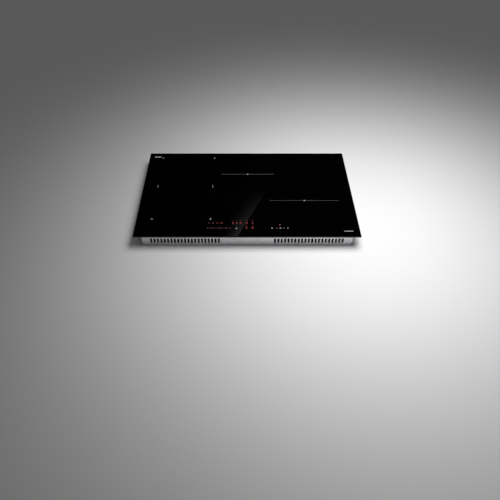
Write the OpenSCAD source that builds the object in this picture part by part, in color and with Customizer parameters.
// Built-in induction hob, 80 cm wide: a black glass top bonded to a steel casing, with four coils on
// two sprung decks, two blower-cooled power boards, a touch control and four swing-out worktop clamps.
// Millimetres. +X is right, +Y is the back, +Z is up. The origin is the middle of the casing's underside.

/* [Glass] */
// Width of the glass top
glass_w = 800; // [790:1:820]
// Depth of the glass top
glass_d = 510; // [506:1:520]
// Thickness of the glass top
glass_t = 4; // [4:0.5:6]
// Radius of the glass's four corners
glass_r = 3; // [2:0.5:8]
// Width of the bevel round the glass's upper edge
glass_bevel = 1; // [0.4:0.1:2]

/* [Casing] */
// Height from the casing's underside to the top of the glass
total_h = 54; // [54:0.5:58]
// Width of the casing, which drops through the worktop's cut-out
body_w = 752; // [748:1:760]
// Depth of the casing
body_d = 482; // [478:1:488]
// Thickness of the casing's sheet steel
sheet = 1; // [0.8:0.1:1.2]
// Radius of the casing's upright corners
body_r = 6; // [4:0.5:10]

/* [Cooking zones] */
// Centre of the left double zone, from the middle of the glass
flex_x = -237; // [-240:1:-234]
// Centre of the left double zone, front to back
flex_y = 30; // [28:1:32]
// Width of the left double zone
flex_w = 210; // [206:1:212]
// Depth of the left double zone
flex_d = 382; // [376:1:384]
// Centre of the middle zone, left to right
middle_x = 4; // [2:1:6]
// Centre of the middle zone, front to back
middle_y = 109; // [106:1:111]
// Diameter of the middle zone
middle_d = 210; // [200:1:212]
// Centre of the right zone, left to right
right_x = 216; // [213:1:218]
// Centre of the right zone, front to back
right_y = -56; // [-58:1:-54]
// Diameter of the right zone
right_d = 260; // [250:1:262]

/* [Clamps] */
// Length of a clamp arm from its pivot to its tip
clamp_reach = 52; // [46:1:54]
// How far an arm climbs its screw
clamp_lift = 18; // [12:1:18]

/* [Blowers] */
// Radius of a blower rotor
rotor_r = 37; // [34:0.5:38]
// Number of blades on a rotor
rotor_blades = 23; // [17:2:29]

/* [Hidden] */
$fn = 64;
SIDES = [["left", -1], ["right", 1]];

// Heights, from the underside up
glass_z = total_h - glass_t;
flange_z = glass_z - 1.8;
pan_h = glass_z - 3;
deck_z = 34.5;
deck_t = 1.5;
former_z = deck_z + deck_t;
former_h = 5.2;
wire_z = former_z + former_h;
wire_h = 4;
insulation_z = wire_z + wire_h + 0.2;
insulation_top = glass_z - 0.3;
tray_z = sheet + 0.2;
tray_t = 1.6;
board_z = 8;
board_t = 1.6;
board_top = board_z + board_t;

// Coils: name, centre, half width, half depth, corner radius, turns, ferrite bars, deck
coil_gap = 6;
flex_a = flex_w / 2 - coil_gap;
flex_b = flex_d / 4 - coil_gap;
middle_a = middle_d / 2 - coil_gap - 2;
right_a = right_d / 2 - coil_gap - 3;
COILS = [
    ["flex_rear", [flex_x, flex_y + flex_d / 4], flex_a, flex_b, 78, 14, 8, "left"],
    ["flex_front", [flex_x, flex_y - flex_d / 4], flex_a, flex_b, 78, 14, 8, "left"],
    ["middle", [middle_x, middle_y], middle_a, middle_a, 0, 16, 8, "right"],
    ["right", [right_x, right_y], right_a, right_a, 0, 21, 12, "right"],
];
wire_pitch = 3.9;
wire_w = 3.5;
sensor_r = 9;

// Posts that guide the decks and seat their springs: place and deck
POSTS = [
    [[-335, 203], "left"], [[-335, -138], "left"], [[-125, 203], "left"], [[-125, -138], "left"],
    [[-92, 203], "right"], [[-92, -138], "right"], [[335, 203], "right"], [[335, -138], "right"],
];
post_r = 5;
post_top = 17;
guide_r = 2.5;
guide_top = former_z + 2;
spring_r = 5;
spring_wire = 1.2;

// Clamps: name, side, direction along the side in which the stowed arm points, place of the screw
CLAMPS = [
    ["left_front", -1, 1, [-365, -182]],
    ["left_rear", -1, -1, [-365, 182]],
    ["right_front", 1, 1, [365, -182]],
    ["right_rear", 1, -1, [365, 182]],
];
pocket_depth = 22;
pocket_len = 76;
pocket_floor = 7;
clamp_screw_r = 2.5;
clamp_z = pocket_floor + 0.5;
clamp_nut_h = 9;
neck_r = 4.5;
neck_h = 3.2;
arm_z = clamp_z + clamp_nut_h - neck_h + 0.3;
arm_w = 15;
arm_t = 2.5;
tooth_h = 1.2;
pocket_roof = arm_z + arm_t + tooth_h + clamp_lift + 2.7;

// Blowers, trays and boards, drawn for the right side and mirrored for the left
fan_at = [130, 143];
fan_wall_r = rotor_r + 7;
fan_z = tray_z + tray_t + 0.2;
fan_h = 23;
stator_r = 10;
shaft_r = 1.5;
tray_x = [75, 345];
tray_y = [-150, 215];
board_x = [88, 325];
board_y = [-130, 86];
sink_x = [105, 155];
sink_y = [-124, 84];

// Touch control under the front of the glass
control_x = [-165, 156];
control_y = [-236, -170];
control_z = 37;
control_board_z = 41;
DIGIT_SPOTS = [
    [-50.5, -183], [-37, -183], [-23, -183],
    [-1.5, -183], [-1.5, -208], [20, -183], [20, -208], [118, -193],
];
KEY_SPOTS = [
    [-136, -183], [-121.5, -183], [-107, -183], [-91.5, -183], [-37, -210.5],
    [89, -210], [106, -210], [119.5, -210], [131.5, -210], [145, -210],
];
slider_x = [-143, -56];
slider_y = -209.5;

// Mains entry in the middle of the back wall
entry_x = 0;
entry_z = 22;
entry_bore_r = 6.5;
entry_flange_r = 12;
terminal_x = [-44, 44];
terminal_y = [165, 218];
terminal_z = 10;
bridge_y = [177, 187];
bridge_t = 4;
bridge_end = 58;
foot_w = 8.5;
cover_gap = 0.5;
cover_t = 1.5;
cover_screw = [38, 182];
cover_screw_r = 1.5;

// Screws that hold the casing to the carrier frame: along the long walls and the short walls
screw_z = 43.8;
long_screws = [-320, -210, 210, 320];
short_screws = [-60, 60];
screw_r = 1.75;
screw_head_r = 3.1;

// ---- Shared shapes ----

module rounded_rect(w, d, r) {
    square([w - 2 * r, d], center = true);
    square([w, d - 2 * r], center = true);
    for (x = [-1, 1], y = [-1, 1]) translate([x * (w / 2 - r), y * (d / 2 - r)]) circle(r);
}

module plate(w, d, h, r) {
    linear_extrude(h) rounded_rect(w, d, r);
}

// A flat ring of the given band width, its outside w by d
module band(w, d, h, width, r) {
    linear_extrude(h) difference() {
        rounded_rect(w, d, r);
        square([w - 2 * width, d - 2 * width], center = true);
    }
}

// A box from two opposite corners
module block(low, high) {
    translate(low) cube(high - low);
}

module on_side(side) {
    mirror([side < 0 ? 1 : 0, 0, 0]) children();
}

// A smooth curve through the given points
function curve_at(p, i, t) =
    let (a = p[max(i - 1, 0)], b = p[i], c = p[i + 1], d = p[min(i + 2, len(p) - 1)])
    0.5 * (2 * b + (c - a) * t + (2 * a - 5 * b + 4 * c - d) * t * t + (3 * b - a - 3 * c + d) * t * t * t);
function curve(p, steps = 3) =
    concat([for (i = [0:len(p) - 2], k = [0:steps - 1]) curve_at(p, i, k / steps)], [p[len(p) - 1]]);

// A round lead of radius r with 8 sides, swept along a list of points
function unit(v) = v / norm(v);
function heading(p, i) = unit(p[min(i + 1, len(p) - 1)] - p[max(i - 1, 0)]);
function ring_at(p, i, r, sides) =
    let (t = heading(p, i), n = unit(cross(t, [0.31, 0.77, 0.56])), b = cross(t, n))
    [for (k = [0:sides - 1]) p[i] + r * (cos(360 * k / sides) * n + sin(360 * k / sides) * b)];
module lead(p, r, sides = 8) {
    rings = len(p);
    points = [for (i = [0:rings - 1]) each ring_at(p, i, r, sides)];
    walls = [for (i = [0:rings - 2], k = [0:sides - 1])
        let (a = i * sides + k, b = i * sides + (k + 1) % sides)
        each [[a, b, b + sides], [a, b + sides, a + sides]]];
    ends = [[for (k = [sides - 1:-1:0]) k], [for (k = [0:sides - 1]) (rings - 1) * sides + k]];
    polyhedron(points, concat(walls, ends), convexity = 6);
}

// ---- Glass, seal and casing ----

module glass_plate() {
    color("black") union() {
        translate([0, 0, glass_z]) plate(glass_w, glass_d, glass_t - glass_bevel, glass_r);
        hull() for (step = [0, 1])
            translate([0, 0, total_h - glass_bevel + step * (glass_bevel - 0.01)])
                linear_extrude(0.01)
                    offset(delta = -step * glass_bevel)
                        rounded_rect(glass_w, glass_d, glass_r, $fn = 32);
    }
}

// Foam tape in four lengths, with a small gap at each corner joint
seal_inset = 3;
seal_w = 8;
seal_h = 2;
seal_gap = 0.4;
module seal_strips() {
    long = glass_w - 2 * seal_inset;
    short = glass_d - 2 * (seal_inset + seal_w + seal_gap);
    color("dimgray") translate([0, 0, glass_z - seal_h]) {
        for (y = [-1, 1]) translate([-long / 2, y * (glass_d / 2 - seal_inset - seal_w / 2) - seal_w / 2, 0])
            cube([long, seal_w, seal_h]);
        for (x = [-1, 1]) translate([x * (glass_w / 2 - seal_inset - seal_w / 2) - seal_w / 2, -short / 2, 0])
            cube([seal_w, short, seal_h]);
    }
}

flange_w = 14;
notch_x = [control_x[0] - 3, control_x[1] + 3];
notch_y = [-body_d / 2 + 5, control_y[1]];
module control_notch(low, high) {
    block([notch_x[0], notch_y[0], low], [notch_x[1], notch_y[1], high]);
}

module glass_adhesive() {
    color("gray") difference() {
        translate([0, 0, flange_z + sheet])
            band(body_w - 4, body_d - 4, glass_z - flange_z - sheet, flange_w - 4, body_r - 2);
        control_notch(flange_z, glass_z + 1);
    }
}

module carrier_frame() {
    w = body_w - 2 * sheet;
    d = body_d - 2 * sheet;
    color("gainsboro") difference() {
        union() {
            translate([0, 0, flange_z]) band(w, d, sheet, flange_w, body_r - sheet);
            translate([0, 0, pocket_roof + 2.5]) difference() {
                plate(w, d, flange_z - pocket_roof - 2.5, body_r - sheet);
                translate([0, 0, -1])
                    plate(w - 2 * sheet, d - 2 * sheet, glass_z, body_r - 2 * sheet);
            }
        }
        control_notch(flange_z - 0.5, glass_z);
        casing_screw_places() cylinder(r = screw_r, h = 12, center = true);
    }
}

// Puts its child at each casing screw, with the child's +Z pointing out of the wall
module casing_screw_places() {
    for (x = long_screws, y = [-1, 1])
        translate([x, y * (body_d / 2 - sheet / 2), screw_z]) rotate([y * -90, 0, 0]) children();
    for (y = short_screws, x = [-1, 1])
        translate([x * (body_w / 2 - sheet / 2), y, screw_z]) rotate([0, x * 90, 0]) children();
}

module cross_recess(z) {
    for (a = [0, 90]) rotate(a) translate([-1.8, -0.45, z]) cube([3.6, 0.9, 2]);
}

// The pan's screws, and the countersunk screw of the terminals' lid
module casing_screws() {
    color("silver") casing_screw_places() {
        translate([0, 0, -7]) cylinder(r = screw_r - 0.1, h = 7 + sheet / 2);
        difference() {
            translate([0, 0, sheet / 2]) cylinder(r1 = screw_head_r, r2 = screw_head_r - 0.6, h = 1.9);
            cross_recess(sheet / 2 + 0.9);
        }
    }
    color("silver") translate([cover_screw[0], cover_screw[1], 0]) difference() {
        union() {
            translate([0, 0, 0.1]) cylinder(r1 = 2 * cover_screw_r, r2 = cover_screw_r, h = cover_t);
            translate([0, 0, cover_t]) cylinder(r = cover_screw_r, h = terminal_z + bridge_t - cover_t);
        }
        cross_recess(-1.2);
    }
}

// ---- Base pan ----

// The middle of the pocket that holds a clamp, along the casing's side
function pocket_mid(c) = c[3][1] + c[2] * (pocket_len / 2 - 12);

// A box in a clamp's pocket, grown by g except at the open side, between two heights
module pocket_box(c, low, high, g) {
    outer = body_w / 2 + (g > 0 ? 0 : 1);
    inner = body_w / 2 - pocket_depth - g;
    on_side(c[1]) block(
        [inner, pocket_mid(c) - pocket_len / 2 - g, low],
        [outer, pocket_mid(c) + pocket_len / 2 + g, high]
    );
}

// Slots across a disc of radius r
module disc_slots(r, pitch, width) {
    for (y = [-floor(r / pitch) * pitch:pitch:r - 1]) {
        half = sqrt(r * r - y * y) - 1;
        if (half > 6) translate([-half, y - width / 2, -sheet]) cube([2 * half, width, 4 * sheet]);
    }
}

exhaust_x = [96, 336];
exhaust_pitch = 12;
exhaust_w = 7;
module exhaust_slots() {
    for (x = [exhaust_x[0]:exhaust_pitch:exhaust_x[1]])
        block([x, -body_d / 2 - 1, 12], [x + exhaust_w, -body_d / 2 + sheet + 1, 32]);
}

// Shallow ribs pressed up into the floor, seen from below as grooves
module floor_ribs() {
    for (x = [-36, 0, 36])
        translate([x, -70, 0]) linear_extrude(0.5, center = true) rounded_rect(9, 210, 4);
    for (side = [-1, 1], y = [-175, -198])
        translate([side * 212, y, 0]) linear_extrude(0.5, center = true) rounded_rect(250, 9, 4);
}

module base_pan() {
    color("lightgray") difference() {
        union() {
            difference() {
                plate(body_w, body_d, pan_h, body_r);
                translate([0, 0, sheet])
                    plate(body_w - 2 * sheet, body_d - 2 * sheet, pan_h, body_r - sheet);
            }
            for (c = CLAMPS) pocket_box(c, 0, pocket_roof + sheet, sheet);
        }
        for (c = CLAMPS) {
            pocket_box(c, pocket_floor, pocket_roof, 0);
            pocket_box(c, -1, pocket_floor - sheet, 0);
            translate([c[3][0], c[3][1], 0]) cylinder(r = clamp_screw_r + 0.3, h = pocket_roof + 3);
        }
        for (side = [-1, 1]) on_side(side) {
            translate([fan_at[0], fan_at[1], 0]) disc_slots(rotor_r - 5, 8, 4);
            exhaust_slots();
        }
        floor_ribs();
        block([terminal_x[0], terminal_y[0], -1], [terminal_x[1], terminal_y[1], sheet + 1]);
        translate([entry_x, body_d / 2, entry_z]) rotate([90, 0, 0])
            cylinder(r = entry_flange_r - 2, h = 6, center = true);
        casing_screw_places() cylinder(r = screw_r, h = 4, center = true);
    }
}

// ---- Worktop clamps ----

module clamp_screws() {
    color("silver") for (c = CLAMPS) translate([c[3][0], c[3][1], 0]) difference() {
        union() {
            translate([0, 0, 1.6]) cylinder(r = 4.2, h = pocket_floor - sheet - 1.6, $fn = 6);
            translate([0, 0, 5]) cylinder(r = clamp_screw_r, h = pocket_roof - 3);
        }
        translate([-3, -0.5, 1]) cube([6, 1, 1.6]);
    }
}

// Square threaded block that climbs the screw, with a round neck that the arm turns on
module clamp_nut(c) {
    color("goldenrod") translate([c[3][0], c[3][1], clamp_z]) difference() {
        union() {
            translate([-6, -6, 0]) cube([12, 12, clamp_nut_h - neck_h]);
            translate([0, 0, clamp_nut_h - neck_h]) cylinder(r = neck_r, h = neck_h);
        }
        translate([0, 0, -1]) cylinder(r = clamp_screw_r + 0.05, h = clamp_nut_h + 2);
    }
}

// Strip with a raised, toothed tip, drawn pointing along +Y and turned to lie in its pocket
module clamp_arm(c) {
    color("silver") translate([c[3][0], c[3][1], arm_z]) mirror([0, c[2] < 0 ? 1 : 0, 0]) difference() {
        union() {
            cylinder(r = arm_w / 2, h = arm_t);
            translate([-arm_w / 2, 0, 0]) cube([arm_w, clamp_reach, arm_t]);
            for (k = [0:2])
                translate([-arm_w / 2, clamp_reach - 3 - 5 * k, arm_t - 0.1]) cube([arm_w, 2, tooth_h + 0.1]);
            for (x = [-arm_w / 2, arm_w / 2 - 1.5])
                translate([x, 9, -2.5]) cube([1.5, clamp_reach - 24, 2.6]);
        }
        translate([0, 0, -1]) cylinder(r = neck_r + 0.06, h = arm_t + 2);
        translate([0, 24, -1]) cylinder(r = 2.2, h = arm_t + 2);
    }
}

// ---- Coils and decks ----

module coil_outline(c, grow) {
    if (c[4] == 0) circle(c[2] + grow, $fn = 96);
    else rounded_rect(2 * (c[2] + grow), 2 * (c[3] + grow), c[4] + grow);
}

module at_coil(c, z) {
    translate([c[1][0], c[1][1], z]) children();
}

// Closely wound turns of stranded wire, bonded to a thin backing
module coil(c) {
    turns = c[5];
    color("peru") at_coil(c, wire_z) {
        linear_extrude(0.6) difference() {
            coil_outline(c, 0);
            coil_outline(c, -turns * wire_pitch);
        }
        for (i = [0:turns - 1]) linear_extrude(wire_h) difference() {
            coil_outline(c, -i * wire_pitch);
            coil_outline(c, -i * wire_pitch - wire_w);
        }
    }
}

bar_w = 15;
bar_h = 3.6;
bar_in = 26;
function bar_out(c) = min(c[2], c[3]) - 5;
module bar_places(c) {
    for (k = [0:c[6] - 1]) rotate((k + 0.5) * 360 / c[6]) translate([bar_in, 0, 0]) children();
}

module former(c) {
    color("whitesmoke") at_coil(c, former_z) difference() {
        linear_extrude(former_h) coil_outline(c, 1.5);
        translate([0, 0, -1]) cylinder(r = sensor_r + 2.5, h = former_h + 2);
        bar_places(c) translate([c[6] > 8 ? 9 : 0, -bar_w / 2 - 0.3, former_h - bar_h - 0.3])
            cube([bar_out(c) - bar_in - (c[6] > 8 ? 9 : 0) + 0.3, bar_w + 0.6, bar_h + 1]);
        for (k = [0:3]) rotate(k * 90)
            translate([min(c[2], c[3]) - 6, 0, -1]) cylinder(r = 2.1, h = former_h + 2);
    }
}

module ferrites(name) {
    color("darkslategray") for (c = COILS) if (c[7] == name)
        at_coil(c, wire_z - bar_h - 0.1) bar_places(c)
            translate([c[6] > 8 ? 9.3 : 0.3, -bar_w / 2, 0])
                cube([bar_out(c) - bar_in - (c[6] > 8 ? 9 : 0) - 0.3, bar_w, bar_h]);
}

module insulation(c) {
    color("beige") at_coil(c, insulation_z) linear_extrude(insulation_top - insulation_z) difference() {
        coil_outline(c, 2.5);
        circle(sensor_r + 0.5);
    }
}

// Plastic socket in the former's middle, with a soft cap that touches the glass
module sensor(c) {
    color("ivory") at_coil(c, former_z) {
        cylinder(r = sensor_r + 2, h = 2);
        difference() {
            translate([0, 0, 2]) cylinder(r = sensor_r, h = insulation_top - former_z - 4);
            translate([-1.2, 0, 5]) cube([2.4, sensor_r + 1, 4]);
        }
        translate([0, 0, insulation_top - former_z - 2]) cylinder(r1 = 6.5, r2 = 5, h = 2);
    }
}

LEFT_DECK = [[-348, -165], [-110, -165], [-110, 226], [-348, 226]];
RIGHT_DECK = [[-106, -165], [150, -165], [150, -169], [160.5, -169], [160.5, -190], [348, -190],
              [348, 226], [-106, 226]];
module deck(name) {
    outline = name == "left" ? LEFT_DECK : RIGHT_DECK;
    color("gainsboro") translate([0, 0, deck_z]) difference() {
        union() {
            linear_extrude(deck_t) polygon(outline);
            linear_extrude(deck_t + 3) difference() {
                polygon(outline);
                offset(delta = -1.2) polygon(outline);
            }
        }
        for (p = POSTS) if (p[1] == name)
            translate([p[0][0], p[0][1], -1]) cylinder(r = guide_r + 0.8, h = deck_t + 2);
        for (c = COILS) if (c[7] == name) translate([c[1][0], c[1][1], -1]) {
            cylinder(r = sensor_r + 0.5, h = deck_t + 2);
            for (k = [0:3]) rotate(k * 90 + 45)
                translate([c[3] * 0.62, 0, 0]) cylinder(r = 7, h = deck_t + 2);
        }
    }
}

// Each spring as the sleeve that its turns fill
module deck_springs(name) {
    color("silver") for (p = POSTS) if (p[1] == name) translate([p[0][0], p[0][1], post_top]) difference() {
        cylinder(r = spring_r, h = deck_z - post_top);
        translate([0, 0, -1]) cylinder(r = spring_r - spring_wire, h = deck_z - post_top + 2);
    }
}

// ---- Trays, power boards and blowers ----

module post(p) {
    translate([p[0], p[1], tray_z]) {
        cylinder(r = post_r, h = post_top - tray_z);
        cylinder(r = guide_r, h = guide_top - tray_z);
    }
}

tray_wall = 9;
module tray(side) {
    color("dimgray") {
        on_side(side) difference() {
            block([tray_x[0], tray_y[0], tray_z], [tray_x[1], tray_y[1], tray_z + tray_wall]);
            block([tray_x[0] + tray_t, tray_y[0] + tray_t, tray_z + tray_t],
                  [tray_x[1] - tray_t, tray_y[1] - tray_t, tray_z + tray_wall + 1]);
            translate([fan_at[0], fan_at[1], 0]) cylinder(r = rotor_r - 4, h = 9);
            block([sink_x[0], tray_y[0] - 1, tray_z + tray_t + 2],
                  [sink_x[1], tray_y[0] + tray_t + 1, tray_z + tray_wall + 1]);
        }
        on_side(side) for (x = [board_x[0] + 8, board_x[1] - 8], y = [board_y[0] + 8, board_y[1] - 8])
            translate([x, y, tray_z]) cylinder(r = 3.5, h = board_z - tray_z);
        for (p = POSTS) if (p[0][0] * side > 0) post(p[0]);
    }
}

module power_board(side) {
    color("darkgreen") on_side(side) difference() {
        block([board_x[0], board_y[0], board_z], [board_x[1], board_y[1], board_top]);
        for (x = [board_x[0] + 8, board_x[1] - 8], y = [board_y[0] + 8, board_y[1] - 8])
            translate([x, y, board_z - 1]) cylinder(r = 1.6, h = board_t + 2);
    }
}

sink_base = 4;
sink_h = 20;
fin_t = 1.2;
fins = 12;
module heat_sink(side) {
    color("silver") on_side(side) translate([0, 0, board_top]) {
        block([sink_x[0], sink_y[0], 0], [sink_x[1], sink_y[1], sink_base]);
        for (k = [0:fins - 1])
            translate([sink_x[0] + k * (sink_x[1] - sink_x[0] - fin_t) / (fins - 1), sink_y[0], sink_base])
                cube([fin_t, sink_y[1] - sink_y[0], sink_h - sink_base]);
    }
}

outlet_x = [-24, 24];
outlet_len = 12;
module fan_housing(side) {
    color("dimgray") on_side(side) translate([fan_at[0], fan_at[1], fan_z]) {
        difference() {
            union() {
                cylinder(r = fan_wall_r, h = fan_h);
                block([outlet_x[0] - 1.5, -fan_wall_r - outlet_len, 0], [outlet_x[1] + 1.5, 0, fan_h]);
            }
            translate([0, 0, 1.5]) cylinder(r = fan_wall_r - 1.5, h = fan_h - 3);
            block([outlet_x[0], -fan_wall_r - outlet_len - 1, 1.5], [outlet_x[1], 0, fan_h - 1.5]);
            translate([0, 0, -1]) cylinder(r = rotor_r - 6, h = 4);
        }
        difference() {
            translate([0, 0, 7]) cylinder(r = stator_r, h = fan_h - 7.5);
            translate([0, 0, 6]) cylinder(r = shaft_r + 0.05, h = fan_h - 9);
        }
    }
}

// Cup round the motor's stator, a disc, and blades hanging from it with a ring at their foot
module fan_rotor(side) {
    cup_r = stator_r + 2.5;
    color("black") on_side(side) translate([fan_at[0], fan_at[1], fan_z]) {
        difference() {
            translate([0, 0, 3.5]) cylinder(r = cup_r, h = fan_h - 7);
            translate([0, 0, 5]) cylinder(r = cup_r - 1.5, h = fan_h);
        }
        translate([0, 0, 4]) cylinder(r = shaft_r, h = 14);
        translate([0, 0, fan_h - 5]) linear_extrude(1.5) difference() {
            circle(rotor_r);
            circle(cup_r - 0.5);
        }
        translate([0, 0, 3]) linear_extrude(1.5) difference() {
            circle(rotor_r);
            circle(rotor_r - 2);
        }
        for (k = [0:rotor_blades - 1]) rotate(k * 360 / rotor_blades)
            translate([rotor_r - 1, 0, 3.5]) rotate(145) cube([9, 1, fan_h - 8]);
    }
}

// ---- Parts on the power boards: drawn for the right board and mirrored for the left ----

CAN_SPOTS = [[296, 62], [296, 40], [272, 62], [272, 40]];
BOX_CAPS = [[182, 34, 34, 22, 19], [182, 4, 34, 22, 19], [182, -26, 34, 22, 19], [182, -56, 34, 22, 19],
            [262, -6, 44, 30, 20]];
module capacitors() {
    for (s = SIDES) on_side(s[1]) translate([0, 0, board_top]) {
        color("goldenrod") for (b = BOX_CAPS) translate([b[0], b[1], 0]) cube([b[2], b[3], b[4]]);
        color("midnightblue") for (p = CAN_SPOTS) translate([p[0], p[1], 0]) cylinder(r = 9, h = 18.5);
    }
}

CHOKE_SPOTS = [[240, -70], [292, -70]];
module chokes() {
    color("peru") for (s = SIDES, p = CHOKE_SPOTS) on_side(s[1]) translate([p[0], p[1], board_top]) {
        translate([0, 0, 8]) rotate_extrude() translate([13, 0]) circle(7);
        difference() {
            cylinder(r = 20, h = 3);
            translate([0, 0, -1]) cylinder(r = 5, h = 5);
        }
    }
}

module power_transistors() {
    color("darkslategray") for (s = SIDES, y = [60, 30, 0, -30, -60, -90]) on_side(s[1])
        translate([sink_x[1] + 0.1, y, board_top]) {
            translate([0, 0, 2.5]) cube([5, 16, 16]);
            for (k = [0:2]) translate([2, 2 + 5.2 * k, 0]) cube([0.8, 1.2, 3]);
        }
}

module relays() {
    for (s = SIDES) on_side(s[1]) translate([0, 0, board_top]) {
        color("ivory") for (x = [228, 254, 280]) translate([x, -118, 0]) cube([20, 16, 15]);
        color("white") for (y = [40, 64]) translate([228, y, 0]) cube([24, 8, 11]);
    }
}

// ---- Touch control ----

module control_carrier() {
    low = [control_x[0], control_y[0]];
    high = [control_x[1], control_y[1]];
    color("dimgray") difference() {
        block([low[0], low[1], control_z], [high[0], high[1], glass_z - 0.5]);
        block([low[0] + 2, low[1] + 2, control_z + 1.5], [high[0] - 2, high[1] - 2, glass_z]);
        for (x = [-130:40:130])
            block([x, -218, control_z - 1], [x + 24, -188, control_z + 3]);
    }
}

module control_board() {
    color("darkgreen") block(
        [control_x[0] + 2.5, control_y[0] + 2.5, control_board_z],
        [control_x[1] - 2.5, control_y[1] - 2.5, control_board_z + 1.6]
    );
}

module display_modules() {
    z = control_board_z + 1.6;
    h = glass_z - 0.4 - z;
    color("firebrick") {
        for (p = DIGIT_SPOTS) translate([p[0] - 4.2, p[1] - 5.6, z]) cube([8.4, 11.2, h]);
        block([slider_x[0], slider_y - 3, z], [slider_x[1], slider_y + 3, z + h]);
    }
}

// Conical contact springs between the board and the glass, as the sleeve that each fills
module touch_springs() {
    z = control_board_z + 1.6;
    color("silver") for (p = KEY_SPOTS) translate([p[0], p[1], z]) difference() {
        cylinder(r = 4, h = glass_z - 0.2 - z);
        translate([0, 0, -1]) cylinder(r = 2.6, h = glass_z);
    }
}

// ---- Mains terminal, cable entry and wiring ----

// Five terminals on a bridge, whose feet stand on the pan's floor on either side of the opening
module terminal_block() {
    color("ivory") difference() {
        union() {
            block([-34, 176, terminal_z], [34, 202, terminal_z + 18]);
            block([-bridge_end, bridge_y[0], terminal_z], [bridge_end, bridge_y[1], terminal_z + bridge_t]);
            for (side = [-1, 1]) on_side(side) block(
                [bridge_end - foot_w, bridge_y[0], sheet],
                [bridge_end, bridge_y[1], terminal_z + 1]
            );
        }
        translate([cover_screw[0], cover_screw[1], sheet])
            cylinder(r = cover_screw_r + 0.05, h = terminal_z + bridge_t);
        for (k = [0:4]) translate([-26 + 13 * k, 189, 5]) {
            cylinder(r = 3, h = 14);
            translate([-3.5, 7, 8]) cube([7, 8, 7]);
        }
    }
}

// Lid under the terminals: two hooks lie on the pan's floor at its left edge, and a pillar near its right
// edge meets the terminals' bridge, where one countersunk screw holds it
module terminal_cover() {
    low = [terminal_x[0] + cover_gap, terminal_y[0] + cover_gap];
    high = [terminal_x[1] - cover_gap, terminal_y[1] - cover_gap];
    color("dimgray") difference() {
        union() {
            difference() {
                block([low[0], low[1], 0], [high[0], high[1], 6]);
                block(
                    [low[0] + cover_t, low[1] + cover_t, cover_t],
                    [high[0] - cover_t, high[1] - cover_t, 7]
                );
            }
            for (y = [low[1] + 8, high[1] - 18])
                block([low[0] - 5, y, sheet], [low[0] + 1, y + 10, sheet + cover_t]);
            translate([cover_screw[0], cover_screw[1], 0])
                cylinder(r = 2 * cover_screw_r + 0.2, h = terminal_z);
        }
        for (x = [-20:10:20]) block([x - 2, low[1] + 12, -1], [x + 2, high[1] - 12, 0.6]);
        translate([cover_screw[0], cover_screw[1], 0]) {
            cylinder(r = cover_screw_r + 0.1, h = terminal_z + 1);
            translate([0, 0, -0.1])
                cylinder(r1 = 2 * cover_screw_r + 0.3, r2 = cover_screw_r + 0.1, h = cover_t + 0.2);
        }
    }
}

module cable_clamp() {
    color("dimgray") difference() {
        union() {
            block([-20, 223, entry_z - 10], [20, 232, entry_z - 0.5]);
            block([-20, 223, entry_z + 0.5], [20, 232, entry_z + 9]);
            block([-24, 223, sheet], [-14, 232, entry_z - 9]);
            block([14, 223, sheet], [24, 232, entry_z - 9]);
        }
        translate([entry_x, 240, entry_z]) rotate([90, 0, 0]) cylinder(r = entry_bore_r + 0.7, h = 30);
        for (x = [-15, 15]) translate([x, 227.5, entry_z - 9]) cylinder(r = 1.7, h = 30);
    }
}

module cable_grommet() {
    color("black") translate([entry_x, body_d / 2 - sheet / 2, entry_z]) rotate([-90, 0, 0]) difference() {
        union() {
            translate([0, 0, sheet / 2]) cylinder(r = entry_flange_r, h = 4);
            translate([0, 0, -4.5]) cylinder(r = entry_flange_r, h = 4);
            translate([0, 0, -1]) cylinder(r = entry_flange_r - 2, h = 2);
        }
        translate([0, 0, -6]) cylinder(r = entry_bore_r, h = 12);
    }
}

lead_r = 1.6;
// Two mains leads from each power board to the terminals, and the control's supply lead
module wiring() {
    color("firebrick") for (s = SIDES) on_side(s[1]) {
        for (k = [0, 1]) lead(curve([
            [240, 44 + 24 * k, board_top + 11.6], [240, 44 + 24 * k, 25], [239, 52 + 24 * k, 27],
            [224 + 9 * k, 98, 27],
            [196 + 5 * k, 130, 24], [190 + 5 * k, 170, 15], [172, 190.5 + 4.8 * k, 13],
            [110, 190.5 + 4.8 * k, 13], [60, 190.5 + 4.8 * k, 13], [34.2, 190.5 + 4.8 * k, 13],
        ]), lead_r);
        lead(curve([
            [238, -110, board_top + 16], [238, -110, 27], [233, -115, 28], [200, -140, 28],
            [150, -166, 28], [124, -182, 30], [118, -186, 33], [118, -186, control_z - 0.3],
        ]), lead_r);
    }
}

// ---- Draw the wanted node ----

glass_plate();
seal_strips();
glass_adhesive();
carrier_frame();
base_pan();
casing_screws();
clamp_screws();
for (c = CLAMPS) {
    clamp_nut(c);
    clamp_arm(c);
}
for (s = SIDES) {
    deck(s[0]);
    deck_springs(s[0]);
    ferrites(s[0]);
    tray(s[1]);
    power_board(s[1]);
    heat_sink(s[1]);
    fan_housing(s[1]);
    fan_rotor(s[1]);
}
for (c = COILS) {
    coil(c);
    former(c);
    insulation(c);
    sensor(c);
}
capacitors();
chokes();
power_transistors();
relays();
control_carrier();
control_board();
display_modules();
touch_springs();
terminal_block();
terminal_cover();
cable_clamp();
cable_grommet();
wiring();
